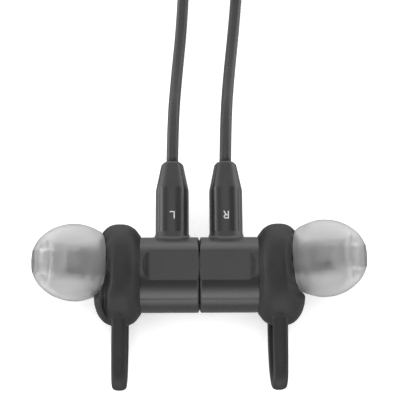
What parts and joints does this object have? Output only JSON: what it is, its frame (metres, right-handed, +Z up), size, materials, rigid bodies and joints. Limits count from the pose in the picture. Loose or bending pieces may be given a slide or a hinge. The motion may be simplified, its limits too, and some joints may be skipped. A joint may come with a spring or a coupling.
{
  "type": "neckband earphones",
  "caption": "Wireless neckband earphones laid open: a flexible band with a control pod on each end, and two clasped earbuds with fins and soft tips on thin cords.",
  "frame": {"origin": "on the table under the middle of the band, pods and earbuds, measured without the free cords", "axes": "+Z up from the table, +Y from the nape of the band towards the cord loops, +X to the right-hand pod"},
  "size_m": [0.1344, 0.2197, 0.0168],
  "materials": {
    "strap_silicone": "satin",
    "spring_steel": "satin",
    "cord_jacket": "satin",
    "pod_plastic": "matte",
    "button_plastic": "satin",
    "seal_rubber": "matte",
    "circuit_board": "gloss",
    "battery_wrap": "gloss",
    "light_pipe": "gloss",
    "microphone_metal": "satin",
    "bud_plastic": "satin",
    "magnet_metal": "polished",
    "diaphragm_film": "gloss",
    "nozzle_mesh": "satin",
    "fin_silicone": "satin",
    "tip_silicone": "satin"
  },
  "bodies": {
    "neckband": {"neck_strap": "strap_silicone", "strap_core_wire": "spring_steel", "strap_cable": "cord_jacket"},
    "left_arm": {"left_pod_top_shell": "pod_plastic", "left_pod_bottom_shell": "pod_plastic", "left_pod_gasket": "seal_rubber", "left_pod_screws": "spring_steel", "left_strap_boot": "strap_silicone", "left_cord_boot": "strap_silicone", "left_cord": "cord_jacket", "battery_cell": "battery_wrap", "battery_protection_board": "circuit_board", "charging_board": "circuit_board", "charging_socket": "spring_steel", "power_switch": "circuit_board", "port_cover_pin": "spring_steel"},
    "right_arm": {"right_pod_top_shell": "pod_plastic", "right_pod_bottom_shell": "pod_plastic", "right_pod_gasket": "seal_rubber", "right_pod_screws": "spring_steel", "right_strap_boot": "strap_silicone", "right_cord_boot": "strap_silicone", "right_cord": "cord_jacket", "main_board": "circuit_board", "radio_shield_can": "spring_steel", "key_switches": "circuit_board", "status_light_pipe": "light_pipe", "microphone_capsule": "microphone_metal"},
    "left_bud": {"left_rear_housing": "bud_plastic", "left_end_cap": "bud_plastic", "left_clasp_magnet": "magnet_metal", "left_driver_basket": "magnet_metal", "left_driver_magnet": "magnet_metal", "left_driver_diaphragm": "diaphragm_film", "left_front_housing": "bud_plastic", "left_nozzle_screen": "nozzle_mesh", "left_cord_barrel": "bud_plastic", "left_cord_grommet": "fin_silicone"},
    "right_bud": {"right_rear_housing": "bud_plastic", "right_end_cap": "bud_plastic", "right_clasp_magnet": "magnet_metal", "right_driver_basket": "magnet_metal", "right_driver_magnet": "magnet_metal", "right_driver_diaphragm": "diaphragm_film", "right_front_housing": "bud_plastic", "right_nozzle_screen": "nozzle_mesh", "right_cord_barrel": "bud_plastic", "right_cord_grommet": "fin_silicone"},
    "left_fin": {"left_fin_sleeve": "fin_silicone"},
    "right_fin": {"right_fin_sleeve": "fin_silicone"},
    "left_tip": {"left_ear_tip": "tip_silicone"},
    "right_tip": {"right_ear_tip": "tip_silicone"},
    "volume_up": {"volume_up_button": "button_plastic"},
    "play": {"play_button": "button_plastic"},
    "volume_down": {"volume_down_button": "button_plastic"},
    "power": {"power_button": "button_plastic"},
    "cover": {"port_cover": "pod_plastic"}
  },
  "joints": [
    {"name": "left_arm_flex", "type": "hinge", "parent": "neckband", "child": "left_arm", "pos_m": [-0.04243, -0.05143, 0.0045], "axis": [0, 0, 1], "range_deg": [0, 8], "stiffness_Nm_per_rad": 0.4, "deforming": ["neck_strap", "strap_core_wire", "strap_cable"]},
    {"name": "left_bud_unclasp", "type": "slide", "parent": "left_arm", "child": "left_bud", "axis": [-1, 0, 0], "range_m": [0, 0.012], "deforming": ["left_cord"]},
    {"name": "left_fin_turn", "type": "hinge", "parent": "left_bud", "child": "left_fin", "pos_m": [-0.0132, 0.025, 0.0084], "axis": [-1, 0, 0], "range_deg": [0, 14]},
    {"name": "left_tip_pull", "type": "slide", "parent": "left_bud", "child": "left_tip", "axis": [-0.9698, -0.0322, 0.2419], "range_m": [0, 0.007]},
    {"name": "right_arm_flex", "type": "hinge", "parent": "neckband", "child": "right_arm", "pos_m": [0.04243, -0.05143, 0.0045], "axis": [0, 0, -1], "range_deg": [0, 8], "stiffness_Nm_per_rad": 0.4, "deforming": ["neck_strap", "strap_core_wire", "strap_cable"]},
    {"name": "right_bud_unclasp", "type": "slide", "parent": "right_arm", "child": "right_bud", "axis": [1, 0, 0], "range_m": [0, 0.012], "deforming": ["right_cord"]},
    {"name": "right_fin_turn", "type": "hinge", "parent": "right_bud", "child": "right_fin", "pos_m": [0.0132, 0.025, 0.0084], "axis": [-1, 0, 0], "range_deg": [0, 14]},
    {"name": "right_tip_pull", "type": "slide", "parent": "right_bud", "child": "right_tip", "axis": [0.9702, -0.0102, 0.2419], "range_m": [0, 0.007]},
    {"name": "volume_up_press", "type": "slide", "parent": "right_arm", "child": "volume_up", "axis": [0, 0, -1], "range_m": [0, 0.00035], "stiffness_N_per_m": 800, "springref_m": -0.0002},
    {"name": "play_press", "type": "slide", "parent": "right_arm", "child": "play", "axis": [0, 0, -1], "range_m": [0, 0.00035], "stiffness_N_per_m": 800, "springref_m": -0.0002},
    {"name": "volume_down_press", "type": "slide", "parent": "right_arm", "child": "volume_down", "axis": [0, 0, -1], "range_m": [0, 0.00035], "stiffness_N_per_m": 800, "springref_m": -0.0002},
    {"name": "power_press", "type": "slide", "parent": "left_arm", "child": "power", "axis": [0, 0, -1], "range_m": [0, 0.00035], "stiffness_N_per_m": 800, "springref_m": -0.0002},
    {"name": "port_cover_open", "type": "hinge", "parent": "left_arm", "child": "cover", "pos_m": [-0.06645, 0.0302, 0.0036], "axis": [0, 0, 1], "range_deg": [0, 95]}
  ]
}
